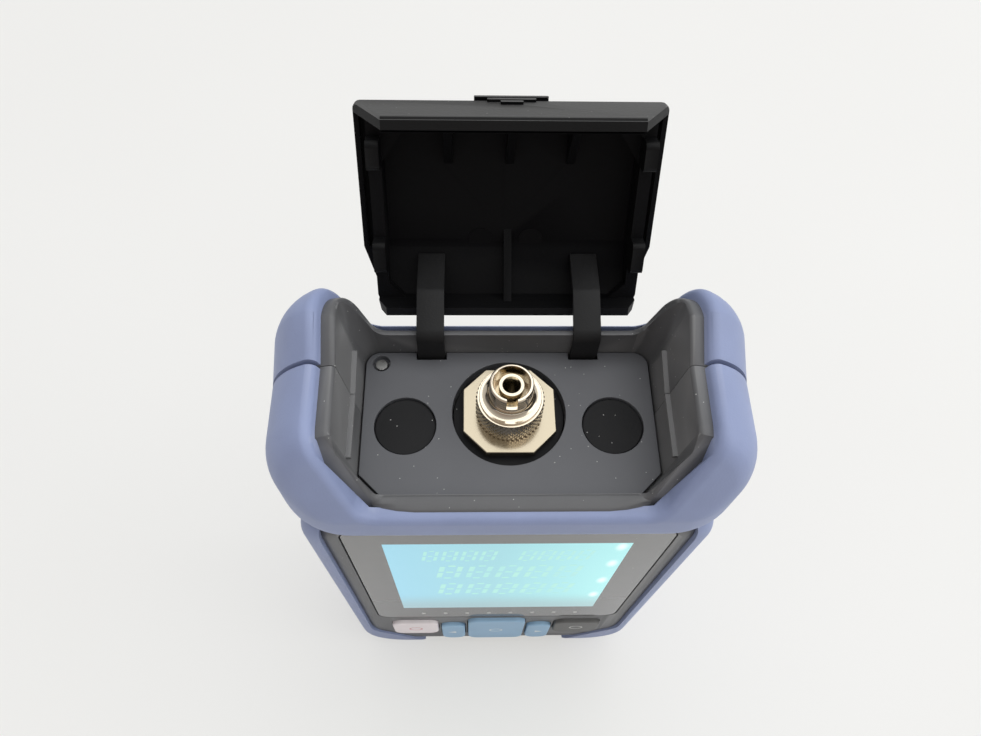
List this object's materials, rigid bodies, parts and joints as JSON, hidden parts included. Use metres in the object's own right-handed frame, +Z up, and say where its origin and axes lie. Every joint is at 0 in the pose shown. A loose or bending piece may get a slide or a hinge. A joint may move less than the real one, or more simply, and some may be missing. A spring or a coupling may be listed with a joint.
{
  "type": "handheld optical power meter",
  "caption": "Upright rubber-armoured handheld fibre-optic meter with a screw-on ferrule adapter between raised ears, a strapped dust cap, a lit display and keys.",
  "frame": {"origin": "on the base, below the line through the two blanked side ports", "axes": "+X to the user's right, +Y to the back, +Z up towards the connector panel"},
  "size_m": [0.0844, 0.0673, 0.1617],
  "materials": {
    "blue_rubber": "soft matt rubber",
    "case_plastic": "fine matt texture",
    "panel_plastic": "smooth satin",
    "black_rubber": "matt moulded rubber",
    "nickel": "nickel plated, polished",
    "sleeve_metal": "turned and polished",
    "screw_steel": "zinc plated",
    "lens_acrylic": "polished acrylic, dark border",
    "lcd": "lit display glass",
    "light_guide": "white light guide",
    "holder_plastic": "white moulding",
    "board": "green solder mask",
    "diode_can": "plated can",
    "key_white": "soft-touch key",
    "key_blue": "soft-touch key",
    "key_grey": "soft-touch key",
    "mat_silicone": "silicone sheet",
    "contact_metal": "nickel-plated strip",
    "buzzer_case": "black moulding",
    "cell_can": "plain wrapped can"
  },
  "bodies": {
    "housing": {"front_bumper": "blue_rubber", "rear_bumper": "blue_rubber", "front_shell": "case_plastic", "rear_shell": "case_plastic", "battery_door": "case_plastic", "connector_panel": "panel_plastic", "cap_strap_left": "black_rubber", "cap_strap_right": "black_rubber", "port_plug_left": "black_rubber", "port_plug_right": "black_rubber", "detector_seat": "black_rubber", "detector_flange": "nickel", "panel_screw": "screw_steel", "case_screws": "screw_steel", "door_screw": "screw_steel", "board_screws": "screw_steel", "display_lens": "lens_acrylic", "lcd_glass": "lcd", "backlight": "light_guide", "lcd_holder": "holder_plastic", "main_board": "board", "detector_board": "board", "photodiode": "diode_can", "key_mat": "mat_silicone", "battery_springs": "contact_metal", "battery_contacts": "contact_metal", "key_domes": "contact_metal", "buzzer": "buzzer_case", "cell_left": "cell_can", "cell_middle": "cell_can", "cell_right": "cell_can"},
    "cap": {"dust_cap": "black_rubber"},
    "sleeve": {"alignment_sleeve": "sleeve_metal"},
    "adapter": {"fibre_adapter": "nickel"},
    "key_power_body": {"key_power": "key_white"},
    "key_left_body": {"key_left": "key_blue"},
    "key_enter_body": {"key_enter": "key_blue"},
    "key_right_body": {"key_right": "key_blue"},
    "key_light_body": {"key_light": "key_grey"}
  },
  "joints": [
    {"name": "cap_hinge", "type": "hinge", "parent": "housing", "child": "cap", "pos_m": [0, 0.0196, 0.12575], "axis": [1, 0, 0], "range_deg": [-50, 116], "stiffness_Nm_per_rad": 0.05, "deforming": ["cap_strap_left", "cap_strap_right"]},
    {"name": "adapter_lift", "type": "slide", "parent": "housing", "child": "sleeve", "axis": [0, 0, 1], "range_m": [0, 0.00225]},
    {"name": "adapter_turn", "type": "hinge", "parent": "sleeve", "child": "adapter", "pos_m": [0, 0.0027, 0.121], "axis": [0, 0, 1], "range_deg": [0, 1080]},
    {"name": "key_power_press", "type": "slide", "parent": "housing", "child": "key_power_body", "axis": [0, 1, 0], "range_m": [0, 0.0006], "stiffness_N_per_m": 800},
    {"name": "key_left_press", "type": "slide", "parent": "housing", "child": "key_left_body", "axis": [0, 1, 0], "range_m": [0, 0.0006], "stiffness_N_per_m": 800},
    {"name": "key_enter_press", "type": "slide", "parent": "housing", "child": "key_enter_body", "axis": [0, 1, 0], "range_m": [0, 0.0006], "stiffness_N_per_m": 800},
    {"name": "key_right_press", "type": "slide", "parent": "housing", "child": "key_right_body", "axis": [0, 1, 0], "range_m": [0, 0.0006], "stiffness_N_per_m": 800},
    {"name": "key_light_press", "type": "slide", "parent": "housing", "child": "key_light_body", "axis": [0, 1, 0], "range_m": [0, 0.0006], "stiffness_N_per_m": 800}
  ],
  "couplings": [
    {"joint": "adapter_lift", "follows": "adapter_turn", "m_per_rad": 0.00011937}
  ]
}
